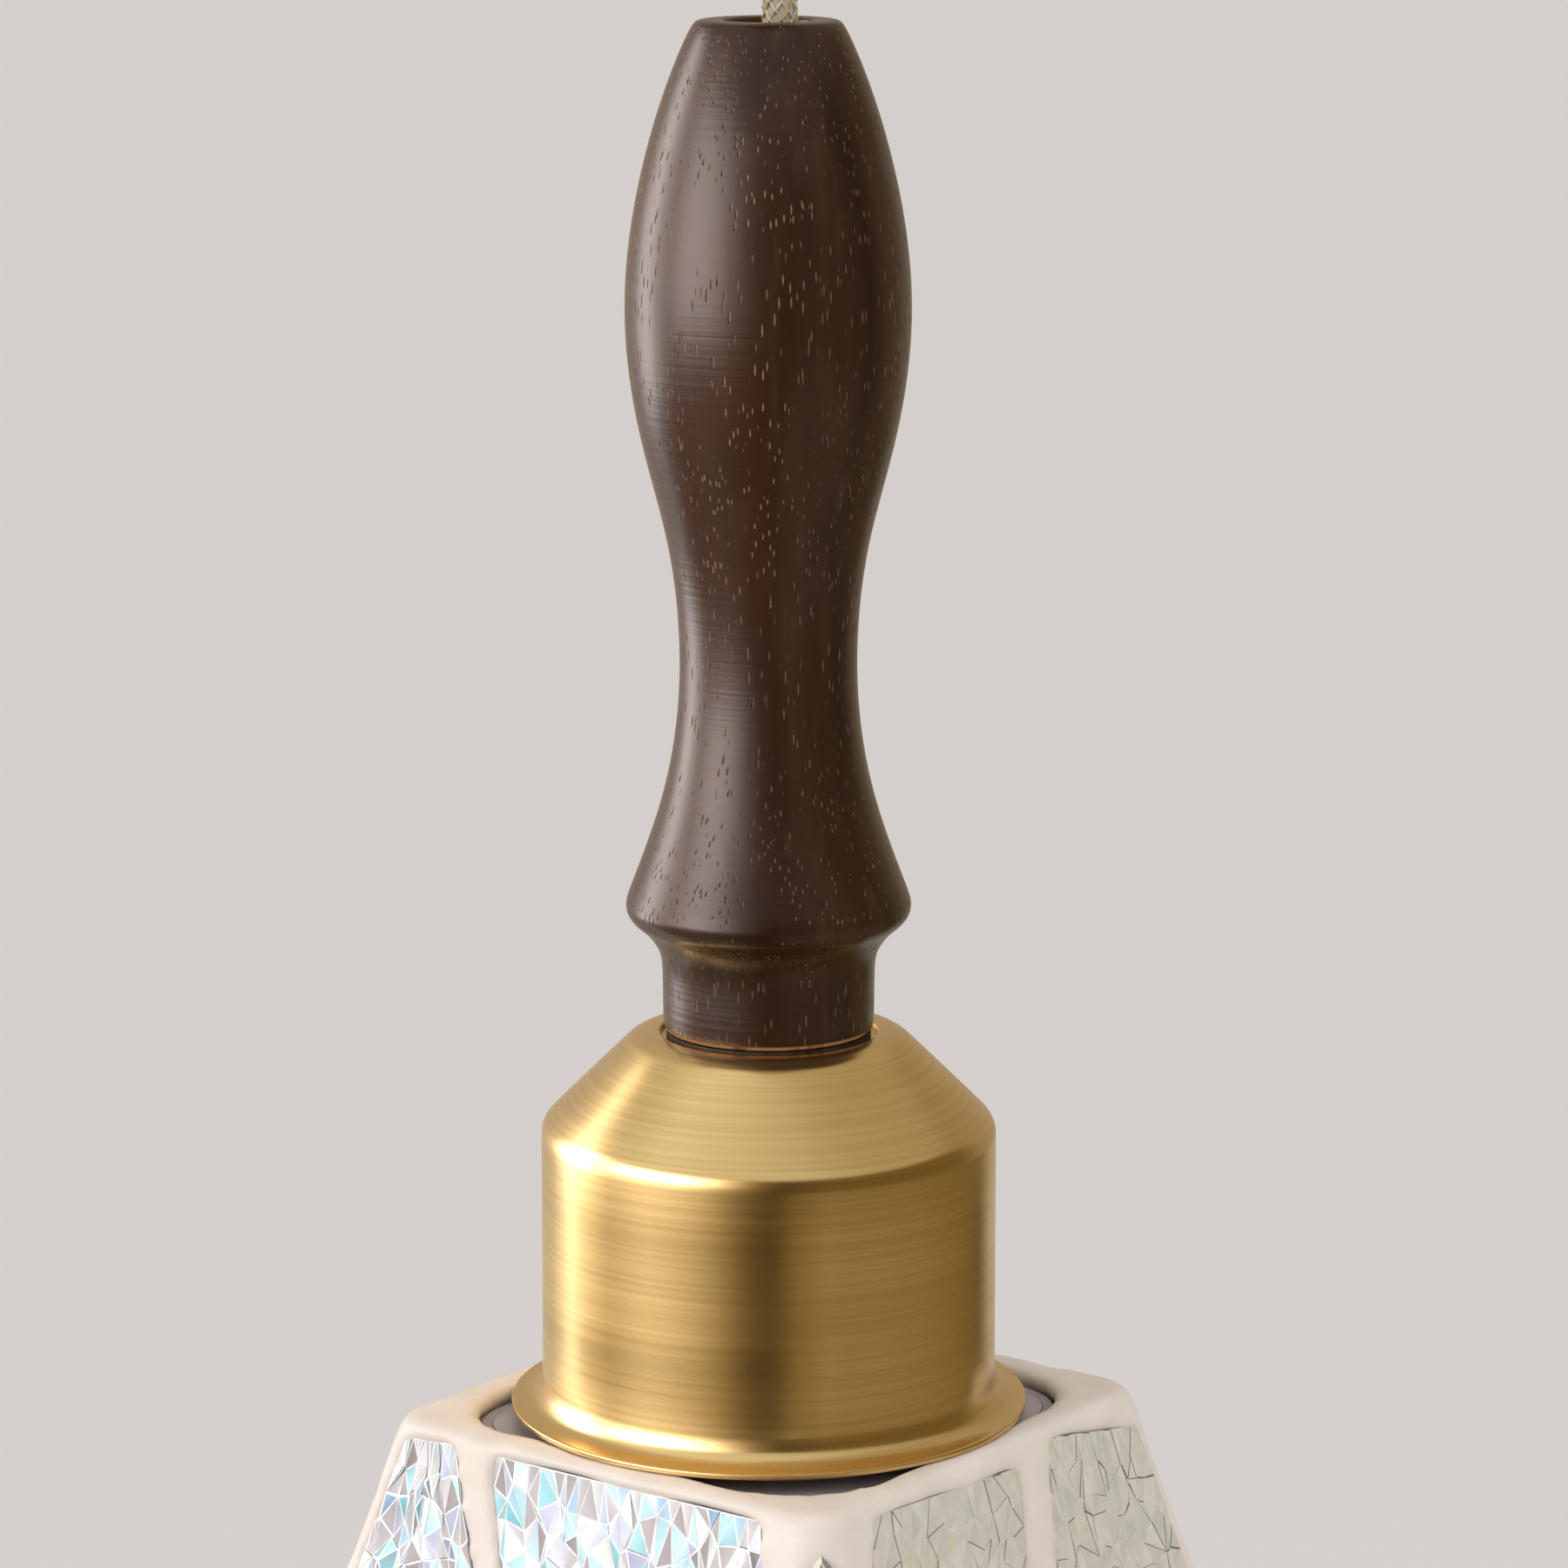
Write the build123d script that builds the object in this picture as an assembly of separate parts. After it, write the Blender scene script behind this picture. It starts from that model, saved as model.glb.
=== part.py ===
from build123d import *
import os
from math import cos, pi, radians, sin, sqrt, tan

# A pendant lamp: ceiling plate and spun brass canopy, a taut braided cord, a turned walnut handle, a spun
# brass cap over the lampholder, and a four-sided lantern shade of glass tiles set in grout on a glass body.
# Millimetres, +Z up. The origin is the centre of the ceiling plate's top face, so everything hangs below z = 0.

os.makedirs("parts", exist_ok=True)

# ---- driving dimensions -------------------------------------------------------------------------------------
cord_d = 4.6
cord_r = cord_d / 2

canopy_r = 48.0
canopy_height = 26.0
canopy_wall = 1.2
plate_r = 44.0
plate_thick = 1.5
ceiling_hole_r = 2.5
ceiling_hole_spacing = 68.0
canopy_screw_x = 33.0
canopy_screw_r = 1.9
supply_hole = (-20.0, -16.0)
supply_hole_r = 5.5
terminal_x = 5.0                           # the connector's two ways are this far each side of the middle
terminal_y = 20.0
terminal_screw_r = 1.9

grip_collar_r = 8.0
grip_collar_z = -38.6
grip_screw_r = 1.45
grip_screw_z = -30.0
swing_pivot_z = -37.0

handle_length = 127.3
handle_top_z = -129.7
wood_z = handle_top_z - handle_length      # underside of the walnut, every height below is counted from it
handle_bore_r = 5.0
tilt_pivot_z = -131.0
cord_lean_x = 1.2                          # the cord rests off centre in the handle's mouth
cord_lean_y = 0.9
thread_r = 4.9                             # M10 hollow nipple, outside
thread_bore_r = 3.0
nut_across = 14.0
nut_height = 3.0
nut_bore_r = thread_r + 0.02

cap_r = 29.0
cap_sheet = 0.8
cap_flange_r = 33.1
cap_flange_depth = 49.2
cone_sum = 16.8                            # radius plus height on the 45 degree shoulder of the cap

holder_r = 19.9
holder_top_depth = 4.8
holder_cap_r = 19.0
holder_cap_wall = 2.0
holder_cap_foot = 24.0
holder_shoulder_r = 23.0
holder_shoulder = (48.7, 51.2)              # depths of the shoulder that the shade carrier hangs under
core_r = 16.4
core_foot = 34.0
screw_shell_r = 13.55
bulb_cap_r = 13.1
bulb_r = 29.0
bulb_centre_depth = 106.0

shade_top_depth = 49.3
shade_bottom_depth = 160.0
shade_half_top = 34.55
shade_slope = 0.262
shade_corner_r = 5.5
opening_half = 30.0
opening_corner_r = 12.0
carrier_wide = 55.6
carrier_corner_r = 9.0
skin = 3.5                                 # grout and tiles, measured square to the face
base_glass = 3.0
tile_recess = 0.4
grout_cover = 2.6                          # grout over the top and bottom edges of the glass body

face_cos = 1 / sqrt(1 + shade_slope ** 2)
face_sin = shade_slope * face_cos


def save(shape, name):
    export_step(shape, f"parts/{name}.step")


def depth(below):
    """Height in the lamp's frame of a level given as a distance below the walnut's underside."""
    return wood_z - below


def disc(radius, z_low, z_high, bore=0.0):
    """Plain turned disc or ring between two heights."""
    body = Pos(0, 0, z_low) * extrude(Circle(radius), z_high - z_low)
    if bore:
        body -= Pos(0, 0, z_low - 1) * extrude(Circle(bore), z_high - z_low + 2)
    return body


def turned(edges):
    """A closed outline of radius and height, spun about Z."""
    return revolve(Plane.XZ * make_face(edges), Axis.Z)


def turned_corners(corners):
    return turned(Polyline(*corners, close=True))


def hex_nut(z_low):
    """Thin M10 nut that stands on a level."""
    body = Pos(0, 0, z_low) * extrude(RegularPolygon(nut_across / 2, 6, major_radius=False), nut_height)
    return body - Pos(0, 0, z_low - 1) * extrude(Circle(nut_bore_r), nut_height + 2)


def tube_between(start, end, radius):
    """Straight round bar from one point to another."""
    direction = Vector(*end) - Vector(*start)
    return extrude(Plane(origin=start, z_dir=direction) * Circle(radius), direction.length)


def bent_tube(name, points, radius):
    """Round bar along straight runs with tangent arcs, each as large as its shorter run allows."""
    corners = [Vector(*p) for p in points]
    radii = []
    for before, here, after in zip(corners, corners[1:], corners[2:]):
        turn = radians((here - before).get_angle(after - here))
        shorter = min((here - before).length, (after - here).length)
        radii.append(0.45 * shorter / tan(turn / 2))
    path = FilletPolyline(*points, radius=radii)
    start = Plane(origin=points[0], z_dir=corners[1] - corners[0])
    body = sweep(start * Circle(radius), path=path)
    expected = pi * radius ** 2 * path.length
    print(name, "arc radii", [round(r, 1) for r in radii], "volume ratio", round(body.volume / expected, 3))
    return body


# ---- ceiling ------------------------------------------------------------------------------------------------
def ceiling_plate():
    """Steel plate that is screwed to the ceiling and carries the canopy and the terminal block."""
    body = disc(plate_r, -plate_thick, 0)
    for y in (-ceiling_hole_spacing / 2, ceiling_hole_spacing / 2):
        body -= Pos(0, y, 0) * Cylinder(ceiling_hole_r, 3 * plate_thick)
    body -= Pos(*supply_hole, 0) * Cylinder(supply_hole_r, 3 * plate_thick)
    for x in (-canopy_screw_x, canopy_screw_x):
        boss = disc(4.0, -plate_thick - 5, -plate_thick, bore=canopy_screw_r + 0.05)
        body += Pos(x, 0, 0) * boss
    return body


def canopy():
    """Spun brass cup, open at the ceiling, with a round lower edge."""
    bottom = -canopy_height
    outer = FilletPolyline((0, bottom), (canopy_r, bottom), (canopy_r, 0), radius=7.0)
    outer_body = turned(outer + Polyline((canopy_r, 0), (0, 0), (0, bottom)))
    inner_r = canopy_r - canopy_wall
    floor = bottom + canopy_wall
    inner = FilletPolyline((0, floor), (inner_r, floor), (inner_r, 1), radius=5.8)
    body = outer_body - turned(inner + Polyline((inner_r, 1), (0, 1), (0, floor)))
    body -= Pos(0, 0, bottom) * Cylinder(thread_r + 0.1, 8)
    for x in (-canopy_screw_x, canopy_screw_x):
        body -= Pos(x, 0, bottom) * Cylinder(canopy_screw_r + 0.3, 8)
    return body


def canopy_screw():
    """Knurled brass thumb screw that pulls the canopy up to the plate's threaded boss."""
    head_top, head_r, flutes = -canopy_height, 4.5, 18
    head = turned_corners([(0, head_top), (head_r, head_top), (head_r, head_top - 4.0),
                           (head_r - 0.9, head_top - 5.0), (0, head_top - 5.4)])
    for step in range(flutes):
        head -= Rot(0, 0, step * 360 / flutes) * Pos(head_r + 0.1, 0, head_top - 2.2) * Box(0.5, 0.5, 3.0)
    return head + disc(canopy_screw_r, head_top, -plate_thick - 0.5)


def cord_grip():
    """Bell-mouthed brass bush: a hollow thread through the canopy and a collar below it."""
    top = -canopy_height + 7.5
    seat = -canopy_height
    mouth_r = 4.6
    throat_r = cord_r + 0.35
    outline = Polyline((throat_r, top), (thread_r, top), (thread_r, seat), (grip_collar_r, seat),
                       (grip_collar_r, grip_collar_z + 2.5), (grip_collar_r - 1.6, grip_collar_z),
                       (mouth_r, grip_collar_z))
    bell = ThreePointArc((mouth_r, grip_collar_z), (3.05, swing_pivot_z + 0.1), (throat_r, swing_pivot_z + 1.6))
    body = turned(outline + bell + Line((throat_r, swing_pivot_z + 1.6), (throat_r, top)))
    return body - Pos(5.5, 0, grip_screw_z) * Rot(0, 90, 0) * Cylinder(grip_screw_r + 0.05, 7)


def cord_grip_screw():
    """Grub screw in the collar that holds the cord."""
    length = 5.2
    across = Pos(cord_r, 0, grip_screw_z) * Rot(0, 90, 0)
    body = across * Pos(0, 0, 0.02) * extrude(Circle(grip_screw_r), length)
    return body - across * Pos(0, 0, length) * extrude(RegularPolygon(0.75, 6), 2, both=True)


def terminal_block():
    """Two-way connector block under the plate, with a wire entry on each side and screw wells below."""
    tall = 9.0
    middle = -plate_thick - tall / 2
    body = Pos(0, terminal_y, middle) * Box(20, 14, tall)
    body = fillet(body.edges().filter_by(Axis.Z), 1.2)
    for x in (-terminal_x, terminal_x):
        body -= Pos(x, terminal_y + 6, middle) * Rot(90, 0, 0) * Cylinder(1.6, 6)
        for y in (terminal_y - 3.5, terminal_y + 3.5):
            body -= Pos(x, y, middle - tall / 2) * Cylinder(terminal_screw_r + 0.1, 6)
    return body


def terminal_screws():
    """Four slotted clamping screws in the connector block's wells."""
    screws = []
    for x in (-terminal_x, terminal_x):
        for y in (terminal_y - 3.5, terminal_y + 3.5):
            screw = Pos(x, y, -plate_thick - 7.2) * Cylinder(terminal_screw_r, 2.0)
            screws.append(screw - Pos(x, y, -plate_thick - 8.2) * Box(5, 0.5, 1.0))
    return Compound(children=screws)


# ---- handle and brass cap -----------------------------------------------------------------------------------
def walnut_handle():
    """Turned handle: straight neck, cove, rounded bead, slender waist and a full belly that closes to the top."""
    neck_r = 13.4
    bead = (18.05, 16.5)
    neck = Polyline((handle_bore_r, 0), (neck_r - 0.5, 0), (neck_r, 0.5), (neck_r + 0.05, 9.0))
    cove = ThreePointArc((neck_r + 0.05, 9.0), (14.6, 11.7), (16.9, 13.9))
    lower_round = ThreePointArc((16.9, 13.9), (17.85, 15.0), bead)
    ogee = Spline(bead, (17.1, 19.3), (14.7, 25.8), (12.5, 33.6), (11.2, 47.5), (12.2, 60.0), (15.3, 72.6),
                  (17.85, 91.5), (15.0, 111.3), (9.1, handle_length - 0.4), tangents=((-0.1, 1), (-0.42, 1)))
    mouth = Polyline((9.1, handle_length - 0.4), (8.6, handle_length), (handle_bore_r + 0.6, handle_length),
                     (handle_bore_r, handle_length - 0.6), (handle_bore_r, 0))
    return Pos(0, 0, wood_z) * turned(neck + cove + lower_round + ogee + mouth)


def seat_ring():
    """Thin dark washer between the walnut and the brass cap."""
    return disc(13.0, depth(1.0), depth(0), bore=thread_r + 0.1)


def brass_cap():
    """Spun cup: recess for the seat ring, 45 degree shoulder, straight side and a flared rim."""
    t = cap_sheet
    rim = cap_flange_depth
    cone_foot = cone_sum - cap_r
    cone_shift = t * (sqrt(2) - 1)
    outer = FilletPolyline((thread_r + 0.1, -1.0), (13.7, -1.0), (14.5, -0.1), (cone_sum + 0.1, -0.1),
                           (cap_r, cone_foot), (cap_r, t - rim), (cap_flange_r, t - rim),
                           radius=[0.3, 0.3, 2.6, 6.0, 3.8])
    edge = Line((cap_flange_r, t - rim), (cap_flange_r, -rim))
    inner = FilletPolyline((cap_flange_r, -rim), (cap_r - t, -rim), (cap_r - t, cone_foot - cone_shift),
                           (cone_sum + 0.1 - cone_shift, -0.1 - t), (15.0, -0.1 - t), (14.2, -1.0 - t),
                           (thread_r + 0.1, -1.0 - t), radius=[4.6, 5.2, 1.8, 0.3, 0.3])
    hole = Line((thread_r + 0.1, -1.0 - t), (thread_r + 0.1, -1.0))
    return Pos(0, 0, wood_z) * turned(outer + edge + inner + hole)


def threaded_nipple():
    """Hollow M10 rod that ties handle, cap and lampholder together; the cord runs through it."""
    return disc(thread_r, depth(11), depth(-20), bore=thread_bore_r)


def nipple_nuts():
    """One hex nut under the cap's crown and one inside the lampholder's cap."""
    return Compound(children=[hex_nut(depth(holder_top_depth)), hex_nut(depth(holder_top_depth + 5.0))])


# ---- lampholder ---------------------------------------------------------------------------------------------
def lampholder_cap():
    """Domed upper half of the lampholder, clamped between the two nuts."""
    top, foot, radius = -holder_top_depth, -holder_cap_foot, holder_cap_r
    outer = FilletPolyline((0, top), (radius, top), (radius, foot), radius=6.0)
    outer_body = turned(outer + Polyline((radius, foot), (0, foot), (0, top)))
    roof, hollow_r, past = top - holder_cap_wall, radius - holder_cap_wall, foot - 1
    inner = FilletPolyline((0, roof), (hollow_r, roof), (hollow_r, past), radius=4.0)
    body = outer_body - turned(inner + Polyline((hollow_r, past), (0, past), (0, roof)))
    return Pos(0, 0, wood_z) * (body - Pos(0, 0, top) * Cylinder(thread_r + 0.05, 8))


def lampholder_skirt():
    """Lower half of the lampholder, with a shoulder for the shade carrier and an outside thread below it."""
    foot, thread_start, pitch, groove_depth = 66.0, 62.0, 0.8, 0.4
    body = disc(holder_r, depth(foot), depth(holder_cap_foot))
    body += disc(holder_shoulder_r, depth(holder_shoulder[1]), depth(holder_shoulder[0]))
    for turn in range(5):
        groove_top = depth(thread_start + pitch * turn)
        body -= disc(holder_r + 1, groove_top - pitch / 2, groove_top, bore=holder_r - groove_depth)
    return body - disc(core_r + 0.2, depth(foot + 1), depth(holder_cap_foot - 1))


def lampholder_core():
    """Ceramic insert that carries the contacts."""
    body = disc(core_r, depth(core_foot), depth(holder_cap_foot))
    for x in (-9, 9):
        body -= Pos(x, 0, depth(holder_cap_foot)) * Cylinder(2.6, 8)
    return body - Pos(0, 0, depth(holder_cap_foot)) * Box(5, 14, 6)


def lampholder_shell():
    """Thin brass screw shell for the bulb's cap."""
    return disc(screw_shell_r + 0.4, depth(62), depth(core_foot), bore=screw_shell_r)


def centre_contact():
    """Sprung brass tongue that meets the tip of the bulb."""
    seat, tip, sheet = -core_foot, -core_foot - 1.4, 0.4
    strip = Polyline((9.5, seat), (4.5, seat), (1.2, tip), (-2.5, tip), (-2.5, tip - sheet), (1.1, tip - sheet),
                     (4.4, seat - sheet), (9.5, seat - sheet), close=True)
    return Pos(0, 0, wood_z) * extrude(Plane.XZ * make_face(strip), 2.5, both=True)


def cord_clamp():
    """Moulded block inside the lampholder's cap that grips the cord below the nipple."""
    body = Pos(0, 0, depth(15.5)) * Box(14, 9, 6)
    return body - Pos(0.04, 0.03, depth(15.5)) * Cylinder(cord_r + 0.1, 8)


def lampholder_wires():
    """Live and neutral wires from the end of the cord to the two terminals."""
    wires = []
    for side in (-1, 1):
        route = [(side * 1.1, 0, depth(20.4)), (side * 2.2, 0, depth(21.9)), (side * 7.6, 0, depth(22.3)),
                 (side * 9.1, 0, depth(25.6))]
        wires.append(bent_tube("lampholder_wires", route, 0.7))
    return Compound(children=wires)


# ---- shade --------------------------------------------------------------------------------------------------
def half_side(below):
    """Half the width of the shade across its flats, at a distance below the walnut's underside."""
    return shade_half_top + (below - shade_top_depth) * shade_slope


def lantern(inset, top, bottom):
    """Solid four-sided taper, set in from the shade's outer faces and cut at two levels."""
    corner = max(shade_corner_r - inset, 1.0)
    sections = []
    for below in (bottom, top):
        width = 2 * (half_side(below) - inset)
        sections.append(Pos(0, 0, depth(below)) * RectangleRounded(width, width, corner))
    return loft(sections)


def shade_carrier():
    """Pressed steel tray: its middle fills the shade's opening, its rim bears on the inside of the glass."""
    top, rim_top, rim_bottom, sheet = holder_shoulder[1], 62.0, 63.5, 1.5
    wide, corner, rim_wide = carrier_wide, carrier_corner_r, 62.0
    boss = Pos(0, 0, depth(rim_bottom)) * extrude(RectangleRounded(wide, wide, corner), rim_bottom - top)
    rim = Pos(0, 0, depth(rim_bottom)) * extrude(RectangleRounded(rim_wide, rim_wide, 4.0), rim_bottom - rim_top)
    inside = RectangleRounded(wide - 2 * sheet, wide - 2 * sheet, corner - sheet)
    pocket = Pos(0, 0, depth(rim_bottom + 1)) * extrude(inside, rim_bottom + 1 - top - sheet)
    return boss + rim - pocket - Pos(0, 0, depth(top)) * Cylinder(holder_r + 0.15, 8)


def shade_gasket():
    """Thin felt frame round the carrier that lies on the glass body's top edge and closes the gap to the grout."""
    top, thick, gap = holder_shoulder[1] + 0.05, 0.6, 0.5
    wide, corner = 2 * (opening_half - gap), opening_corner_r - gap
    frame = RectangleRounded(wide, wide, corner)
    frame -= RectangleRounded(carrier_wide + 0.2, carrier_wide + 0.2, carrier_corner_r + 0.1)
    return Pos(0, 0, depth(top + thick)) * extrude(frame, thick)


def shade_ring():
    """Notched ring nut on the lampholder's thread that pulls the carrier up."""
    radius, top, foot, notches = 25.5, 52.7, 60.7, 12
    body = disc(radius, depth(foot), depth(top), bore=holder_r + 0.02)
    for step in range(notches):
        body -= Rot(0, 0, 360 / notches * step) * Pos(radius + 0.3, 0, depth(foot - 2.5)) * Box(2.4, 3.0, 5.2)
    return body


def shade_glass():
    """Clear moulded glass body, open at both ends, that carries the mosaic."""
    outer_inset = skin / face_cos
    inner_inset = (skin + base_glass) / face_cos
    top = shade_top_depth + grout_cover
    bottom = shade_bottom_depth - grout_cover
    return lantern(outer_inset, top, bottom) - lantern(inner_inset, top - 1, bottom + 1)


def tile(turn, corners, proud=-tile_recess, back=skin):
    """Flat glass tile on one face. A corner is a share of the half width and a depth below the walnut."""
    outline = []
    for share, below in corners:
        outline.append((share * half_side(below), (shade_top_depth - below) / face_cos))
    front = Plane(origin=(0, -shade_half_top, depth(shade_top_depth)), x_dir=(1, 0, 0),
                  z_dir=(0, -face_cos, face_sin))
    face = front.offset(proud) * make_face(Polyline(*outline, close=True))
    return Rot(0, 0, turn) * extrude(face, -(proud + back))


# The mosaic of a face whose wide grout corner is on the right, and of one whose wide corner is on the left.
wide_right = {
    "upper_left": [(-0.90, 51.4), (-0.675, 50.9), (-0.235, 84.0), (-0.92, 84.5)],
    "upper_right": [(-0.50, 51.0), (0.72, 50.9), (0.78, 83.5), (-0.15, 84.5)],
    "middle_left": [(-0.92, 89.0), (-0.35, 88.5), (-0.38, 119.0), (-0.93, 120.5)],
    "middle_right": [(-0.26, 88.5), (0.80, 88.0), (0.80, 120.0), (-0.29, 119.0)],
    "lower_left": [(-0.93, 125.0), (0.02, 124.0), (-0.04, 155.5), (-0.94, 155.5)],
    "lower_right": [(0.11, 124.0), (0.81, 125.0), (0.83, 155.5), (0.05, 155.5)],
}
wide_left = {
    "upper_left": [(-0.70, 51.2), (0.17, 52.8), (-0.01, 84.0), (-0.78, 84.5)],
    "upper_right": [(0.38, 50.9), (0.90, 54.0), (0.90, 84.5), (0.13, 84.0)],
    "middle_left": [(-0.80, 89.0), (0.28, 88.5), (0.30, 119.5), (-0.81, 120.0)],
    "middle_right": [(0.38, 88.5), (0.91, 89.0), (0.92, 120.0), (0.40, 119.5)],
    "lower_left": [(-0.81, 125.0), (-0.12, 124.5), (-0.08, 155.5), (-0.83, 155.5)],
    "lower_right": [(-0.02, 124.5), (0.92, 125.0), (0.93, 155.5), (0.01, 155.5)],
}
faces = [("front", 0, wide_right), ("right", 90, wide_left), ("back", 180, wide_right), ("left", 270, wide_left)]


def glass_tiles(proud=-tile_recess):
    tiles = {}
    for side, turn, pattern in faces:
        for place, corners in pattern.items():
            tiles[f"tile_{side}_{place}"] = tile(turn, corners, proud)
    return tiles


def corner_gem(turn, top, proud):
    """Kite-shaped glass drop set in a wide grout corner."""
    wide, tall, back = 3.4, 15.0, 2.9
    slope = shade_slope * sqrt(2)
    lean_cos = 1 / sqrt(1 + slope ** 2)
    corner_radius = sqrt(2) * half_side(top) - (sqrt(2) - 1) * shade_corner_r
    plane = Plane(origin=(0, -corner_radius, depth(top)), x_dir=(1, 0, 0), z_dir=(0, -lean_cos, slope * lean_cos))
    kite = Polyline((0, 0), (-wide, -0.42 * tall), (0, -tall), (wide, -0.42 * tall), close=True)
    return Rot(0, 0, turn) * extrude(plane.offset(proud) * make_face(kite), -(proud + back))


def corner_gems(proud=-0.3):
    gems = []
    for turn in (45, 225):
        for top in (53.0, 74.0, 95.0, 116.0, 137.0):
            gems.append(corner_gem(turn, top, proud))
    return gems


def shade_grout():
    """Cream grout: one skin over the glass body, with a window round every tile and an open top and bottom."""
    outer = lantern(0, shade_top_depth, shade_bottom_depth)
    top_rim = outer.faces().sort_by(Axis.Z)[-1].edges()
    outer = fillet(top_rim, 1.4)
    cover_top = shade_top_depth + grout_cover
    cover_bottom = shade_bottom_depth - grout_cover
    body = outer - lantern(skin / face_cos, cover_top, cover_bottom)
    body -= lantern((skin + base_glass) / face_cos, cover_bottom - 1, shade_bottom_depth + 1)
    opening = RectangleRounded(2 * opening_half, 2 * opening_half, opening_corner_r)
    body -= Pos(0, 0, depth(cover_top + 1)) * extrude(opening, cover_top + 2 - shade_top_depth)
    for window in list(glass_tiles(proud=1.0).values()) + corner_gems(proud=1.0):
        body -= window
    return body


# ---- bulb ---------------------------------------------------------------------------------------------------
def bulb_centre_contact():
    """Soldered tip of the bulb."""
    return Pos(0, 0, wood_z) * turned(ThreePointArc((0, -36.2), (2.6, -36.7), (4.2, -37.6))
                                      + Polyline((4.2, -37.6), (0, -37.6), (0, -36.2)))


def bulb_insulator():
    """Black glass cone between the tip and the screw cap."""
    return turned_corners([(0, depth(37.6)), (4.6, depth(37.6)), (10.4, depth(41.0)), (0, depth(41.0))])


def bulb_screw_cap():
    """Plated screw cap with rounded thread crests, 3.6 mm apart."""
    pitch = 3.629
    body = disc(12.2, depth(63), depth(41))
    for turn in range(6):
        crest = depth(43.2 + pitch * turn)
        body += turned(ThreePointArc((12.0, crest - 1.5), (bulb_cap_r, crest), (12.0, crest + 1.5))
                       + Line((12.0, crest + 1.5), (12.0, crest - 1.5)))
    return body - disc(11.4, depth(64), depth(41.6))


def bulb_outline(inset):
    """Half outline of the bulb's glass: neck and globe joined by a smooth flank, spun about Z."""
    globe = bulb_r - inset
    neck = 12.0 - inset
    flank = Spline((neck, -64.0 + inset), (neck + 2.6, -74.0), (globe * 0.94, -bulb_centre_depth + 9.9),
                   (globe, -bulb_centre_depth), tangents=((0, -1), (0, -1)))
    globe_arc = ThreePointArc((globe, -bulb_centre_depth),
                              (globe * cos(pi / 4), -bulb_centre_depth - globe * sin(pi / 4)),
                              (0, -bulb_centre_depth - globe))
    closing = Polyline((0, -bulb_centre_depth - globe), (0, -60.0), (neck, -60.0), (neck, -64.0 + inset))
    return turned(flank + globe_arc + closing)


def bulb_glass():
    """Clear glass envelope, open at the neck inside the screw cap."""
    body = bulb_outline(0) - bulb_outline(1.0)
    neck_trim = disc(20, depth(63), depth(50)) - disc(11.35, depth(64), depth(49))
    return Pos(0, 0, wood_z) * body - neck_trim


def bulb_stem():
    """Glass stem that carries the filaments."""
    outline = Polyline((0, -62.0), (11.0, -62.0), (11.0, -63.0), (4.5, -70.0), (2.2, -80.0), (2.2, -112.0),
                       (0, -113.0), close=True)
    return Pos(0, 0, wood_z) * turned(outline)


def bulb_filaments():
    """Four LED filament rods leaning out from the stem."""
    rods = []
    for step in range(4):
        angle = radians(45 + 90 * step)
        foot = (4.0 * cos(angle), 4.0 * sin(angle), depth(112))
        head = (12.0 * cos(angle), 12.0 * sin(angle), depth(82))
        rods.append(tube_between(foot, head, 0.9))
    return Compound(children=rods)


# ---- cords --------------------------------------------------------------------------------------------------
def cord_in_canopy():
    """The cord from the bell mouth up to the connector block."""
    route = [(0, 0, swing_pivot_z + cord_r + 0.4), (0, 0, -15.0), (0, 4.5, -7.8), (0, 12.3, -6.0)]
    return bent_tube("cord_in_canopy", route, cord_r)


def cord_point(z):
    """Point on the taut cord between the two pivots at height z."""
    share = (swing_pivot_z - z) / (swing_pivot_z - tilt_pivot_z)
    return (cord_lean_x * share, cord_lean_y * share, z)


def cord_half(pivot_z, middle_z):
    """Half of the free cord: a straight run with a round end on its pivot."""
    run = tube_between(cord_point(pivot_z), cord_point(middle_z), cord_r)
    return run + Pos(*cord_point(pivot_z)) * Sphere(cord_r)


def cord_in_handle():
    """The cord from the handle's mouth down through the nipple to the lampholder."""
    start = (cord_lean_x, cord_lean_y, tilt_pivot_z - cord_r - 0.4)
    return tube_between(start, (0, 0, depth(19.8)), cord_r)


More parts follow.
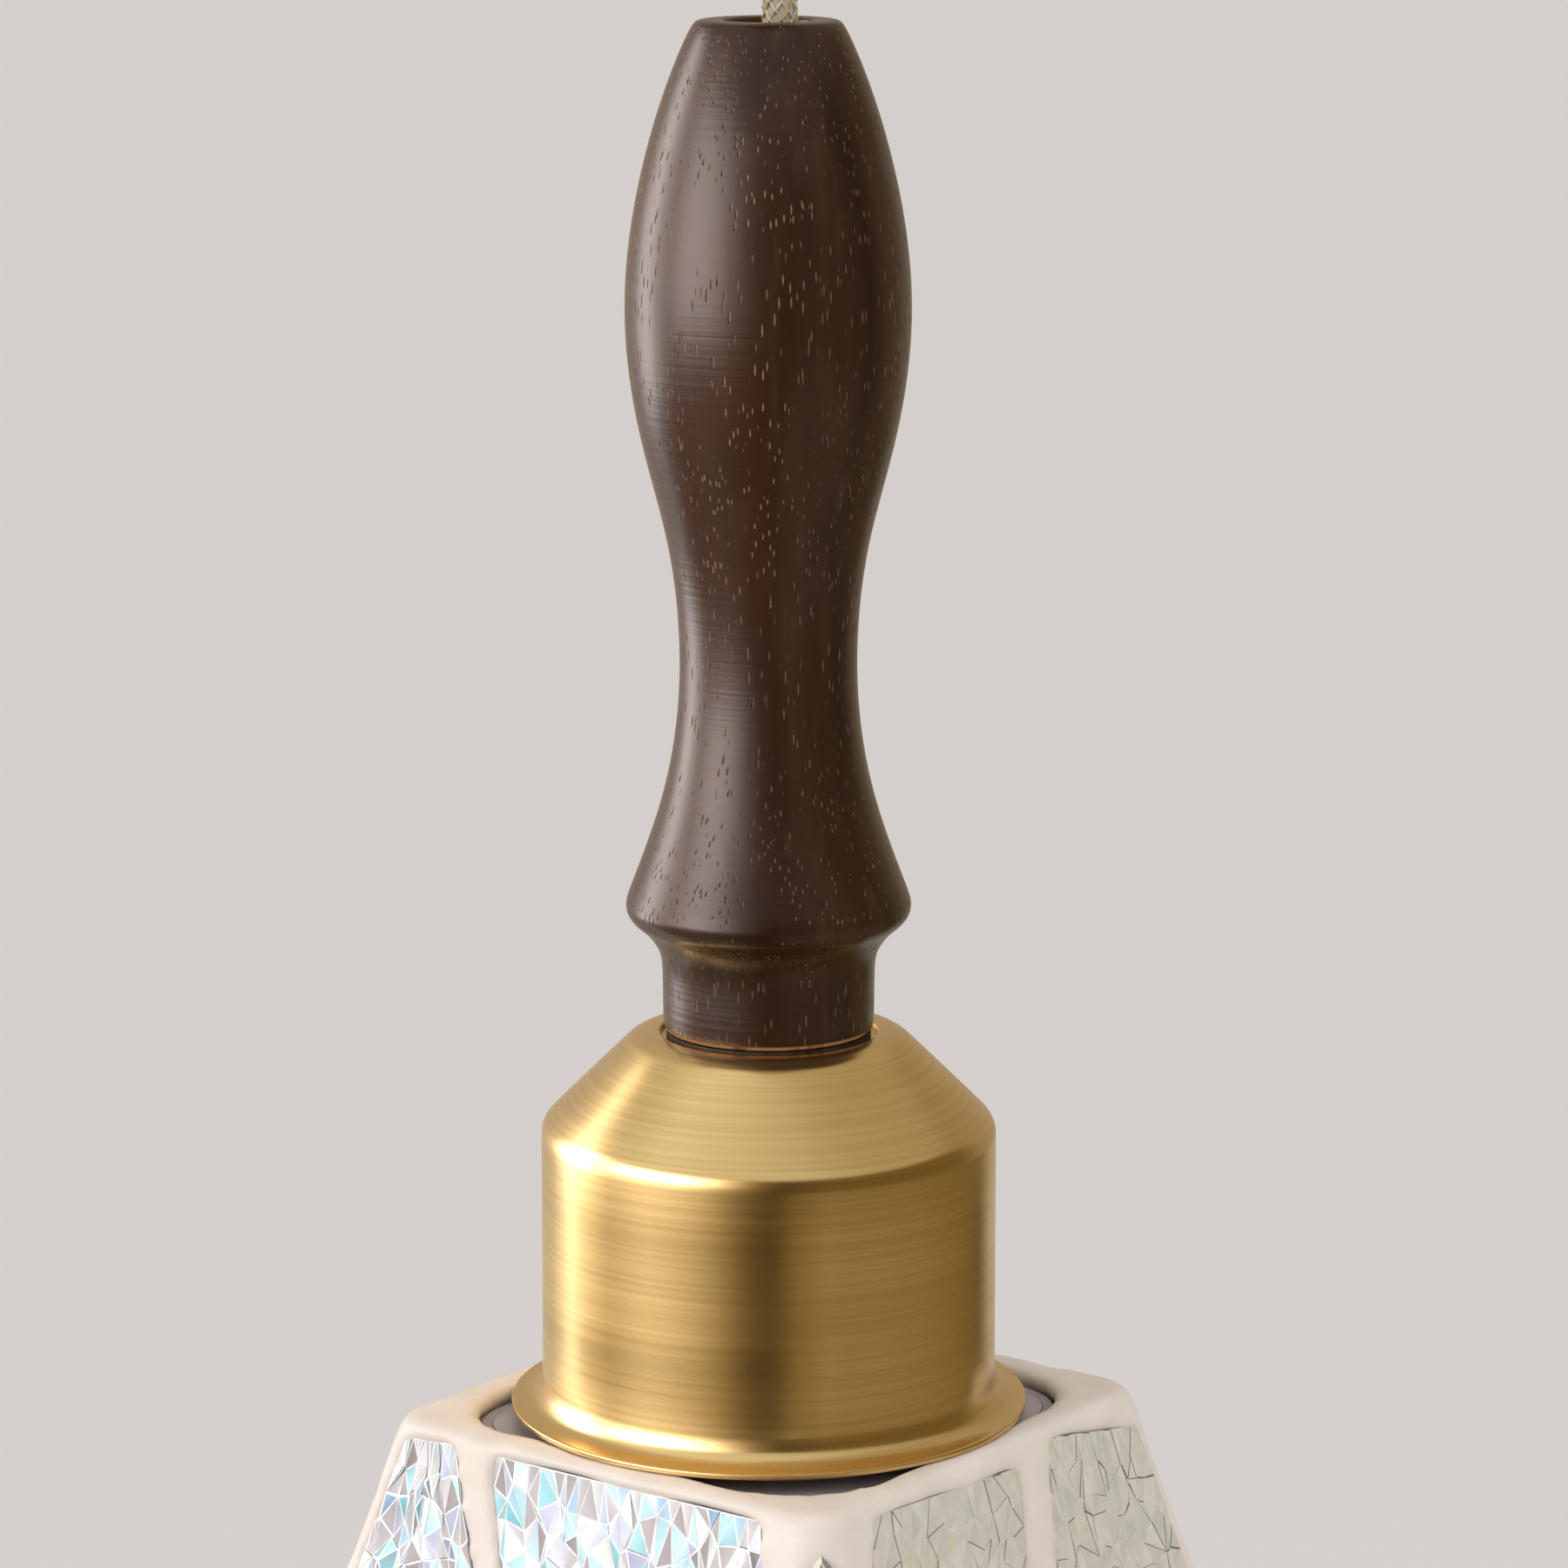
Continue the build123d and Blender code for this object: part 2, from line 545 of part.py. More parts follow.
# ---- write every piece --------------------------------------------------------------------------------------
twist_z = (swing_pivot_z + tilt_pivot_z) / 2
pieces = {
    "ceiling_plate": ceiling_plate(),
    "canopy": canopy(),
    "canopy_screws": Compound(children=[Pos(x, 0, 0) * canopy_screw() for x in (-canopy_screw_x, canopy_screw_x)]),
    "cord_grip": cord_grip(),
    "cord_grip_nut": hex_nut(-canopy_height + canopy_wall),
    "cord_grip_screw": cord_grip_screw(),
    "terminal_block": terminal_block(),
    "terminal_screws": terminal_screws(),
    "cord_in_canopy": cord_in_canopy(),
    "cord_upper": cord_half(swing_pivot_z, twist_z + 0.2),
    "cord_lower": cord_half(tilt_pivot_z, twist_z - 0.2),
    "walnut_handle": walnut_handle(),
    "cord_in_handle": cord_in_handle(),
    "seat_ring": seat_ring(),
    "brass_cap": brass_cap(),
    "threaded_nipple": threaded_nipple(),
    "nipple_nuts": nipple_nuts(),
    "lampholder_cap": lampholder_cap(),
    "lampholder_skirt": lampholder_skirt(),
    "lampholder_core": lampholder_core(),
    "lampholder_shell": lampholder_shell(),
    "centre_contact": centre_contact(),
    "cord_clamp": cord_clamp(),
    "lampholder_wires": lampholder_wires(),
    "shade_carrier": shade_carrier(),
    "shade_gasket": shade_gasket(),
    "shade_ring": shade_ring(),
    "shade_glass": shade_glass(),
    "shade_grout": shade_grout(),
    "corner_gems": Compound(children=corner_gems()),
    "bulb_centre_contact": bulb_centre_contact(),
    "bulb_insulator": bulb_insulator(),
    "bulb_screw_cap": bulb_screw_cap(),
    "bulb_glass": bulb_glass(),
    "bulb_stem": bulb_stem(),
    "bulb_filaments": bulb_filaments(),
}
pieces.update(glass_tiles())
for name, shape in pieces.items():
    save(shape, name)
print(len(pieces), "nodes; free cord", round(swing_pivot_z - tilt_pivot_z, 1), "mm between its pivots")
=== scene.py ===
import math
import bpy
import numpy as np
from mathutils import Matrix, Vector


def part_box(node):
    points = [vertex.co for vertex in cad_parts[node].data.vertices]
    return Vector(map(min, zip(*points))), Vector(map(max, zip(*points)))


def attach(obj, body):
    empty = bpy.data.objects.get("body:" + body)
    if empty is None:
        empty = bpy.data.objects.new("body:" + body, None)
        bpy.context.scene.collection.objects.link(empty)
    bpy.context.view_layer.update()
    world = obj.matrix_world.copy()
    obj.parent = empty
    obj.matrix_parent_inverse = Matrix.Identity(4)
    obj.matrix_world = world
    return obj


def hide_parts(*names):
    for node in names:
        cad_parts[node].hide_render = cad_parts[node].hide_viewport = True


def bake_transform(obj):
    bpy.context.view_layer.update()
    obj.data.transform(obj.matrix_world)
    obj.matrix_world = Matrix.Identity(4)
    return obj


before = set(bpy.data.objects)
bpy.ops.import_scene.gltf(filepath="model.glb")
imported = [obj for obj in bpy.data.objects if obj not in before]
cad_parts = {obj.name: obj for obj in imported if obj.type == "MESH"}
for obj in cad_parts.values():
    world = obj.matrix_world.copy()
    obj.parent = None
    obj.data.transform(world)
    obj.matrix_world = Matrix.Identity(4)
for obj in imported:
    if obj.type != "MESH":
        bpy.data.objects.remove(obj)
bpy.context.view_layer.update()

mm = 0.001

# ---- camera and studio -----------------------------------------------------------------------------------
# The lamp is seen from in front of the corner between its front and right faces, a little from above.
# It hangs over a wide pale floor, inside a light tent whose left wall is bright and whose right wall is dim.
wood_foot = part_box("walnut_handle")[0][2]
camera_turn = math.radians(37.3)
camera_dip = math.radians(11.5)
camera_back = Vector((math.sin(camera_turn), -math.cos(camera_turn), 0))
camera_right = Vector((math.cos(camera_turn), math.sin(camera_turn), 0))
camera_distance = 0.6932
camera_aside = 0.00195
camera_height = wood_foot + 0.17265
camera_place = camera_back * camera_distance + camera_right * camera_aside + Vector((0, 0, camera_height))
bpy.ops.object.select_all(action="DESELECT")
bpy.ops.object.camera_add(location=camera_place, rotation=(math.pi / 2 - camera_dip, 0, camera_turn))
camera = bpy.context.object
camera.data.lens = 129
camera.data.sensor_width = 36
bpy.context.scene.camera = camera
bpy.context.scene.view_settings.view_transform = "Standard"

world = bpy.data.worlds.new("pale_room")
bpy.context.scene.world = world
world.use_nodes = True
room_light = world.node_tree.nodes["Background"]
room_light.inputs["Color"].default_value = (1.0, 0.975, 0.955, 1)
room_light.inputs["Strength"].default_value = 0.70


def add_node(tree, kind, **settings):
    """A shader node with its sockets and options set by name."""
    node = tree.nodes.new(kind)
    for key, value in settings.items():
        if key in node.inputs:
            node.inputs[key].default_value = value
        else:
            setattr(node, key, value)
    return node


def set_stops(ramp, stops):
    """Gives a colour ramp its stops, each a position and a colour."""
    elements = ramp.color_ramp.elements
    while len(elements) < len(stops):
        elements.new(0.5)
    for element, (place, colour) in zip(elements, sorted(stops)):
        element.position = place
        element.color = (*colour, 1)


def new_finish(name):
    """A plain finish, with its node tree and its shader."""
    material = bpy.data.materials.new(name)
    material.use_nodes = True
    return material, material.node_tree, material.node_tree.nodes["Principled BSDF"]


floor_depth = -1.6
bpy.ops.object.select_all(action="DESELECT")
bpy.ops.mesh.primitive_circle_add(vertices=96, radius=34, fill_type="NGON", location=(0, 0, floor_depth))
floor = bpy.context.object
floor.name = "studio_floor"
floor.visible_glossy = False
floor_finish, tree, shader = new_finish("pale_floor")
shader.inputs["Roughness"].default_value = 0.9
shader.inputs["Specular IOR Level"].default_value = 0.1
mottle = add_node(tree, "ShaderNodeTexNoise", Scale=0.4, Detail=2.0)
tone = add_node(tree, "ShaderNodeValToRGB")
set_stops(tone, [(0.3, (0.93, 0.90, 0.885)), (0.7, (0.96, 0.93, 0.915))])
tree.links.new(mottle.outputs["Fac"], tone.inputs["Fac"])
tree.links.new(tone.outputs["Color"], shader.inputs["Base Color"])
floor.data.materials.append(floor_finish)


def ranged(tree, source, low, high, to_low=0.0, to_high=1.0):
    """Maps a value from one range to another, kept within its ends."""
    node = add_node(tree, "ShaderNodeMapRange", interpolation_type="SMOOTHSTEP")
    for key, value in (("From Min", low), ("From Max", high), ("To Min", to_low), ("To Max", to_high)):
        node.inputs[key].default_value = value
    tree.links.new(source, node.inputs["Value"])
    return node.outputs["Result"]


def mixed(tree, factor, a, b, blend="MIX"):
    """Mixes two colours, each a socket or a plain colour."""
    node = add_node(tree, "ShaderNodeMix", data_type="RGBA", blend_type=blend)
    for socket, value in (("Factor", factor), ("A", a), ("B", b)):
        target = node.inputs[socket]
        if isinstance(value, bpy.types.NodeSocket):
            tree.links.new(value, target)
        elif socket == "Factor":
            target.default_value = value
        else:
            target.default_value = (*value, 1)
    return node.outputs["Result"]


# The tent is seen only in gloss. Each of its four heights lists angles round the lamp, in degrees from the
# camera's side with minus to the left, and how bright the cloth is at each. Dim cloth is warmer than bright.
# An edge gives where one height fades into the next, from -1 straight down to 1 straight up.
tent_low = [(-180, 0.55), (-140, 0.6), (-126, 0.9), (-118, 1.7), (-108, 0.56), (-87, 0.38), (-62, 0.66),
            (-41, 0.46), (-31, 0.37), (-22, 0.24), (-13, 0.09), (-3, 0.06), (7, 0.13), (13, 0.34), (20, 0.33),
            (28, 0.45), (36, 0.40), (60, 0.39), (83, 0.35), (113, 0.27), (133, 0.14), (150, 0.55),
            (180, 0.55)]
tent_waist = [(-180, 0.5), (-150, 0.6), (-134, 0.9), (-124, 4.4), (-114, 9.0), (-104, 5.6), (-88, 1.6),
              (-65, 1.9), (-40, 1.3), (-20, 0.5), (-8, 0.2), (4, 0.06), (30, 0.18), (110, 0.2), (132, 0.42),
              (180, 0.5)]
tent_middle = [(-180, 0.5), (-150, 0.6), (-134, 0.9), (-124, 4.4), (-114, 9.0), (-104, 5.6), (-88, 2.8),
               (-70, 9.0), (-50, 8.4), (-34, 3.6), (-20, 1.1), (-8, 0.3), (4, 0.08), (30, 0.18), (110, 0.2),
               (132, 0.42), (180, 0.5)]
tent_top = [(-180, 0.6), (-125, 0.60), (-112, 0.68), (-88, 1.02), (-60, 0.94), (-20, 0.84), (20, 0.74),
            (70, 0.56), (120, 0.5), (180, 0.6)]
waist_edge = (-0.255, -0.222)
middle_edge = (-0.11, -0.04)
top_edge = (0.44, 0.60)
brightest = 9.0
all_warm = 0.25
all_white = 0.75
cloth_white = Vector((1.0, 0.99, 0.96))
cloth_warm = Vector((1.0, 0.75, 0.32))
cloth_rosy = Vector((1.0, 0.92, 0.88))
bpy.ops.object.select_all(action="DESELECT")
bpy.ops.mesh.primitive_uv_sphere_add(segments=64, ring_count=32, radius=1.4, location=(0, 0, wood_foot),
                                     rotation=(0, 0, camera_turn - math.pi / 2))
tent = bpy.context.object
tent.name = "light_tent"
tent.visible_camera = False
tent.visible_diffuse = False
tent.visible_transmission = False
tent.visible_shadow = False
tent_finish = bpy.data.materials.new("tent_cloth")
tent_finish.use_nodes = True
tent_finish.cycles.emission_sampling = "NONE"
tree = tent_finish.node_tree
tree.nodes.clear()
place = add_node(tree, "ShaderNodeTexCoord")
around = add_node(tree, "ShaderNodeTexGradient", gradient_type="RADIAL")
tree.links.new(place.outputs["Object"], around.inputs["Vector"])
direction = add_node(tree, "ShaderNodeVectorMath", operation="NORMALIZE")
tree.links.new(place.outputs["Object"], direction.inputs[0])
height = add_node(tree, "ShaderNodeSeparateXYZ")
tree.links.new(direction.outputs["Vector"], height.inputs["Vector"])
for walls, cloth, edge in ((tent_low, cloth_white, None), (tent_waist, cloth_rosy, waist_edge),
                           (tent_middle, cloth_rosy, middle_edge), (tent_top, cloth_white, top_edge)):
    ramp = add_node(tree, "ShaderNodeValToRGB")
    stops = []
    for angle, strength in walls:
        whiteness = min(max((strength - all_warm) / (all_white - all_warm), 0), 1)
        tint = cloth_warm.lerp(cloth, whiteness)
        stops.append((0.5 + angle / 360, tuple(tint * strength / brightest)))
    set_stops(ramp, stops)
    tree.links.new(around.outputs["Fac"], ramp.inputs["Fac"])
    if edge is None:
        cloth_light = ramp.outputs["Color"]
    else:
        share = ranged(tree, height.outputs["Z"], *edge)
        cloth_light = mixed(tree, share, cloth_light, ramp.outputs["Color"])
glow = add_node(tree, "ShaderNodeEmission", Strength=brightest)
tree.links.new(cloth_light, glow.inputs["Color"])
tent_out = add_node(tree, "ShaderNodeOutputMaterial")
tree.links.new(glow.outputs["Emission"], tent_out.inputs["Surface"])
tent.data.materials.append(tent_finish)

light_aim = Vector((0, 0, wood_foot - 0.03))


def soft_light(name, turn, rise, distance, size, power):
    """A large soft light that faces the lamp, at an angle round it from the camera's side."""
    angle = math.radians(turn)
    away = camera_back * math.cos(angle) + camera_right * math.sin(angle)
    lift = distance * math.sin(math.radians(rise))
    spot = light_aim + away * distance * math.cos(math.radians(rise)) + Vector((0, 0, lift))
    bpy.ops.object.light_add(type="AREA", location=spot)
    light = bpy.context.object
    light.name = name
    light.rotation_euler = (spot - light_aim).to_track_quat("Z", "Y").to_euler()
    light.data.size = size
    light.data.energy = power
    light.visible_glossy = False
    light.visible_camera = False


bpy.ops.object.select_all(action="DESELECT")
soft_light("key_light", turn=-62, rise=22, distance=1.2, size=0.9, power=6)
soft_light("fill_light", turn=48, rise=14, distance=1.2, size=0.9, power=2.4)
soft_light("top_light", turn=10, rise=78, distance=1.3, size=0.8, power=2)

# ---- braided cord ----------------------------------------------------------------------------------------
# A 4.6 mm textile cord, braided from sixteen flat strands, cream with gold tracers. It is pulled straight
# between the grip and the mouth of the handle, and is made in three lengths.
cord_route = [(0.0, 0.0, -0.0345), (0.0, 0.0, -0.037), (0.0012, 0.0009, -0.131), (0.0012, 0.0009, -0.1335)]
strand_count = 16
strand_ring = 1.98 * mm
strand_half_width = 0.40 * mm
strand_half_thick = 0.20 * mm
strand_weave = 0.13 * mm
strand_slant = 0.72
strand_steps = 66
strand_sides = 6
braid_lay = 17 * mm
cream = (0.80, 0.72, 0.58)
gold = (0.62, 0.44, 0.20)
core_radius = 1.85 * mm
core_rings = 16
core_sides = 20
core_colour = (0.60, 0.52, 0.40)


def only(piece):
    """Makes one piece the selected and active one."""
    bpy.ops.object.select_all(action="DESELECT")
    piece.select_set(True)
    bpy.context.view_layer.objects.active = piece


def cord_place(z):
    """The point of the taut route at a height."""
    for above, below in zip(cord_route, cord_route[1:]):
        if z >= below[2]:
            break
    share = (above[2] - z) / (above[2] - below[2])
    return Vector(above).lerp(Vector(below), share)


def spline_points(name, controls):
    """Points read from a smooth spline along the cord's route."""
    curve = bpy.data.curves.new(name, "CURVE")
    curve.dimensions = "3D"
    curve.resolution_u = 24
    spline = curve.splines.new("NURBS")
    spline.points.add(len(controls) - 1)
    for point, place in zip(spline.points, controls):
        point.co = (*place, 1)
    spline.order_u = 3
    spline.use_endpoint_u = True
    holder = bpy.data.objects.new(name, curve)
    line = bpy.data.meshes.new_from_object(holder)
    points = [v.co.copy() for v in line.vertices]
    bpy.data.objects.remove(holder)
    return points


def strand_colour(strand):
    """Every second strand of one direction is a gold tracer, and the others are cream."""
    return gold if strand % 4 == 1 else cream


def tube_faces(first, rings, sides):
    """The faces of a closed tube whose corners are listed ring by ring."""
    faces = []
    for level in range(rings):
        for corner in range(sides):
            low = first + level * sides + corner
            low_next = first + level * sides + (corner + 1) % sides
            faces.append((low, low_next, low_next + sides, low + sides))
    faces.append([first + corner for corner in reversed(range(sides))])
    faces.append([first + rings * sides + corner for corner in range(sides)])
    return faces


def braided_length(name, top, bottom):
    """One length of braid: a core, and strands that pass over and under each other."""
    controls = [cord_place(top), cord_place((top + bottom) / 2), cord_place(bottom)]
    points = spline_points(name + "_route", controls)
    axis = (points[-1] - points[0]).normalized()
    side = axis.cross(Vector((0, 1, 0))).normalized()
    ahead = axis.cross(side)
    run = (points[-1] - points[0]).length
    vertices, faces, tints = [], [], []
    for strand in range(strand_count):
        hand = 1 if strand % 2 else -1
        faces += tube_faces(len(vertices), strand_steps, strand_sides)
        tints += [strand_colour(strand)] * (strand_steps * strand_sides + 2)
        for step in range(strand_steps + 1):
            along = run * step / strand_steps
            turned = (-top + along) / braid_lay
            angle = 2 * math.pi * (hand * turned + (strand // 2) / (strand_count / 2))
            weave = 2 * math.pi * turned * strand_count / 2 + strand // 2 * math.pi
            lift = strand_weave * hand * math.cos(weave)
            outward = side * math.cos(angle) + ahead * math.sin(angle)
            across = (outward.cross(axis) - hand * axis * strand_slant).normalized()
            centre = points[0] + axis * along + outward * (strand_ring + lift)
            for corner in range(strand_sides):
                bend = 2 * math.pi * corner / strand_sides
                vertices.append(centre + across * strand_half_width * math.cos(bend)
                                + outward * strand_half_thick * math.sin(bend))
    faces += tube_faces(len(vertices), core_rings, core_sides)
    tints += [core_colour] * (core_rings * core_sides + 2)
    for level in range(core_rings + 1):
        middle = points[0].lerp(points[-1], level / core_rings)
        for corner in range(core_sides):
            bend = 2 * math.pi * corner / core_sides
            vertices.append(middle + side * core_radius * math.cos(bend)
                            + ahead * core_radius * math.sin(bend))
    mesh = bpy.data.meshes.new(name)
    mesh.from_pydata([tuple(v) for v in vertices], [], faces)
    colours = mesh.attributes.new("strand_colour", "FLOAT_COLOR", "FACE")
    for slot, tint in zip(colours.data, tints):
        slot.color = (*tint, 1)
    piece = bpy.data.objects.new(name, mesh)
    bpy.context.collection.objects.link(piece)
    only(piece)
    bpy.ops.object.mode_set(mode="EDIT")
    bpy.ops.mesh.select_all(action="SELECT")
    bpy.ops.mesh.normals_make_consistent(inside=False)
    bpy.ops.object.mode_set(mode="OBJECT")
    bpy.ops.object.shade_smooth_by_angle(angle=math.radians(60))
    return piece, points


def raised(tree, shader, source, strength, depth):
    """Gives a finish the relief of a height."""
    bump = add_node(tree, "ShaderNodeBump", Strength=strength, Distance=depth)
    tree.links.new(source, bump.inputs["Height"])
    tree.links.new(bump.outputs["Normal"], shader.inputs["Normal"])


def finish_of(name, dark, light, roughness, scale, stretch=(1, 1, 1), bump=0.2, bump_depth=0.1 * mm,
              **sockets):
    """A finish whose colour, roughness and relief follow one fine noise, stretched along the work."""
    material, tree, shader = new_finish(name)
    for socket, value in sockets.items():
        shader.inputs[socket.replace("_", " ")].default_value = value
    place = add_node(tree, "ShaderNodeTexCoord")
    mapping = add_node(tree, "ShaderNodeMapping", Scale=stretch)
    grain = add_node(tree, "ShaderNodeTexNoise", Scale=scale, Detail=5.0, Roughness=0.6)
    tone = add_node(tree, "ShaderNodeValToRGB")
    set_stops(tone, [(0.3, dark), (0.7, light)])
    gloss = add_node(tree, "ShaderNodeMapRange")
    gloss.inputs["To Min"].default_value = roughness[0]
    gloss.inputs["To Max"].default_value = roughness[1]
    tree.links.new(place.outputs["Object"], mapping.inputs["Vector"])
    tree.links.new(mapping.outputs["Vector"], grain.inputs["Vector"])
    tree.links.new(grain.outputs["Fac"], tone.inputs["Fac"])
    tree.links.new(grain.outputs["Fac"], gloss.inputs["Value"])
    tree.links.new(tone.outputs["Color"], shader.inputs["Base Color"])
    tree.links.new(gloss.outputs["Result"], shader.inputs["Roughness"])
    raised(tree, shader, grain.outputs["Fac"], bump, bump_depth)
    return material


def colour_from(material, attribute):
    """Multiplies a finish's colour by the colour painted on the piece."""
    tree = material.node_tree
    colour = tree.nodes["Principled BSDF"].inputs["Base Color"]
    painted = add_node(tree, "ShaderNodeAttribute", attribute_name=attribute)
    tinted = mixed(tree, 1.0, colour.links[0].from_socket, painted.outputs["Color"], "MULTIPLY")
    tree.links.new(tinted, colour)


braid_finish = finish_of("cotton_braid", (0.72, 0.72, 0.72), (1.0, 1.0, 1.0), (0.75, 0.95), 5200, bump=0.5,
                         Sheen_Weight=0.25, Specular_IOR_Level=0.2)
colour_from(braid_finish, "strand_colour")
lengths = [
    ("braid_at_grip", "ceiling", "cord_top", -0.0345, -0.0675, -0.0354, -0.0386, ["cord_upper"]),
    ("braid_middle", "cord_top", "cord_end", -0.0675, -0.1005, -0.0675, -0.1005, []),
    ("braid_at_handle", "cord_end", "lamp", -0.1005, -0.1335, -0.1294, -0.1326, ["cord_lower"]),
]
for name, upper, lower, top, bottom, bend_start, bend_end, nodes in lengths:
    piece, points = braided_length(name, top, bottom)
    piece.data.materials.append(braid_finish)
    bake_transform(piece)
    if nodes:
        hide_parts(*nodes)

# ---- finishes of the ceiling and wiring parts ------------------------------------------------------------
# Zinc plated ceiling plate, satin brass canopy with thumb screws and cord grip, and the nylon terminal block.
# They keep their shape from the frame and only need their finish.


def dress(material, *nodes):
    """Gives one finish to parts that keep their own shape."""
    for node in nodes:
        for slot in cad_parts[node].material_slots:
            slot.material = material


satin_brass = finish_of("satin_brass", (0.66, 0.465, 0.20), (0.79, 0.58, 0.28), (0.24, 0.38), 1.0,
                        (14, 14, 1900), bump=0.12, bump_depth=0.05 * mm, Metallic=1.0)
turned_brass = finish_of("turned_brass", (0.62, 0.44, 0.20), (0.76, 0.56, 0.27), (0.2, 0.36), 1.0,
                         (60, 60, 2400), bump=0.15, bump_depth=0.05 * mm, Metallic=1.0)
zinc = finish_of("zinc_plate", (0.42, 0.43, 0.45), (0.66, 0.67, 0.68), (0.3, 0.5), 420, Metallic=1.0)
nylon = finish_of("white_nylon", (0.70, 0.70, 0.67), (0.82, 0.82, 0.79), (0.45, 0.6), 900, bump=0.1)
insulation = finish_of("brown_insulation", (0.20, 0.055, 0.03), (0.32, 0.10, 0.06), (0.3, 0.42), 700,
                       bump=0.1)
plain_braid = finish_of("cord_cover", (0.50, 0.42, 0.30), (0.80, 0.70, 0.54), (0.8, 0.95), 2600,
                        (1, 1, 0.4), bump=0.6, bump_depth=0.3 * mm, Sheen_Weight=0.25)
dress(satin_brass, "canopy")
dress(turned_brass, "canopy_screws", "cord_grip", "cord_grip_nut", "threaded_nipple", "nipple_nuts")
dress(zinc, "ceiling_plate", "terminal_screws", "cord_grip_screw")
dress(nylon, "terminal_block", "cord_clamp")
dress(insulation, "lampholder_wires")
dress(plain_braid, "cord_in_canopy", "cord_in_handle")

# ---- walnut handle ---------------------------------------------------------------------------------------
# One turned piece of dark walnut with a satin oil finish: a straight neck, a bead, a slender waist and a long
# belly, bored through for the cord. Open pores show all over it, each with a painted shadow at one side, and
# its foot is worn to the bare wood.
bore = 5.0 * mm
bore_middle = 60 * mm
mouth_chamfer = 0.5 * mm
mouth_lip = 0.15 * mm
mouth_depth = 0.8 * mm
foot_lip = 1 * mm
handle_profile = [(0.0, 12.5), (0.25, 13.2), (1.0, 13.42), (5.0, 13.45), (8.8, 13.48), (10.4, 13.85),
                  (11.6, 14.6), (12.7, 15.4), (13.5, 16.35), (14.3, 17.35), (15.3, 18.0), (16.4, 18.14),
                  (17.5, 17.85), (20.5, 16.68), (25.0, 15.02), (30.0, 13.38), (36.0, 12.02), (43.0, 11.18),
                  (50.0, 11.12), (57.0, 11.66), (64.0, 12.88), (71.0, 14.84), (78.0, 16.55), (85.0, 17.62),
                  (92.0, 17.98), (99.0, 17.52), (106.0, 16.38), (113.0, 14.66), (119.0, 12.72), (124.0, 10.7),
                  (126.8, 9.3), (127.25, 8.6), (127.3, 6.4)]
deep_wood = (0.019, 0.0062, 0.0026)
brown_wood = (0.046, 0.0160, 0.0075)
red_wood = (0.062, 0.021, 0.006)
pale_streak = (0.060, 0.027, 0.014)
pore_shade = (0.008, 0.004, 0.003)
pore_dust = (0.25, 0.15, 0.09)
bare_wood = (0.50, 0.245, 0.105)
pore_scale = (1800, 1800, 250)
pore_shift = (0.16, 0.16, 0.05)
pore_rim = 0.24
pore_heart = 0.15


def turned_piece(name, outline, sides, levels):
    """Spins an outline of radius and height by extruding a ring again and again, then smooths it."""
    radius, height = outline[0]
    bpy.ops.object.select_all(action="DESELECT")
    bpy.ops.mesh.primitive_circle_add(vertices=sides, radius=radius, location=(0, 0, height))
    piece = bpy.context.object
    piece.name = name
    piece.data.name = name
    bpy.ops.object.mode_set(mode="EDIT")
    bpy.ops.mesh.select_all(action="SELECT")
    for next_radius, next_height in outline[1:] + outline[:1]:
        bpy.ops.mesh.extrude_region_move(TRANSFORM_OT_translate={"value": (0, 0, next_height - height)})
        share = next_radius / radius
        bpy.ops.transform.resize(value=(share, share, 1), center_override=(0, 0, next_height))
        radius, height = next_radius, next_height
    bpy.ops.mesh.select_all(action="SELECT")
    bpy.ops.mesh.remove_doubles(threshold=0.02 * mm)
    bpy.ops.mesh.normals_make_consistent(inside=False)
    bpy.ops.object.mode_set(mode="OBJECT")
    bpy.ops.object.transform_apply(location=True, rotation=True, scale=True)
    smooth = piece.modifiers.new("smooth", "SUBSURF")
    smooth.levels = levels
    smooth.render_levels = levels
    bpy.ops.object.modifier_apply(modifier=smooth.name)
    bpy.ops.object.shade_smooth_by_angle(angle=math.radians(50))
    return piece


outline = [(radius * mm, wood_foot + rise * mm) for rise, radius in handle_profile]
handle_top = outline[-1][1]
outline += [(bore + mouth_chamfer, handle_top - mouth_lip), (bore, handle_top - mouth_depth),
            (bore, wood_foot + bore_middle), (bore, wood_foot + foot_lip), (bore, wood_foot)]
handle = turned_piece("turned_walnut", outline, sides=48, levels=2)


def stretched(tree, place, scale, **settings):
    """A texture in the piece's own coordinates, stretched by a scale for each axis."""
    kind = settings.pop("kind", "ShaderNodeTexNoise")
    mapping = add_node(tree, "ShaderNodeMapping", Scale=scale)
    texture = add_node(tree, kind, Scale=1.0, **settings)
    tree.links.new(place.outputs["Object"], mapping.inputs["Vector"])
    tree.links.new(mapping.outputs["Vector"], texture.inputs["Vector"])
    return texture


def times(tree, a, b):
    """Multiplies two values, each a socket or a plain number."""
    node = add_node(tree, "ShaderNodeMath", operation="MULTIPLY")
    for socket, value in zip(node.inputs, (a, b)):
        if isinstance(value, bpy.types.NodeSocket):
            tree.links.new(value, socket)
        else:
            socket.default_value = value
    return node.outputs["Value"]


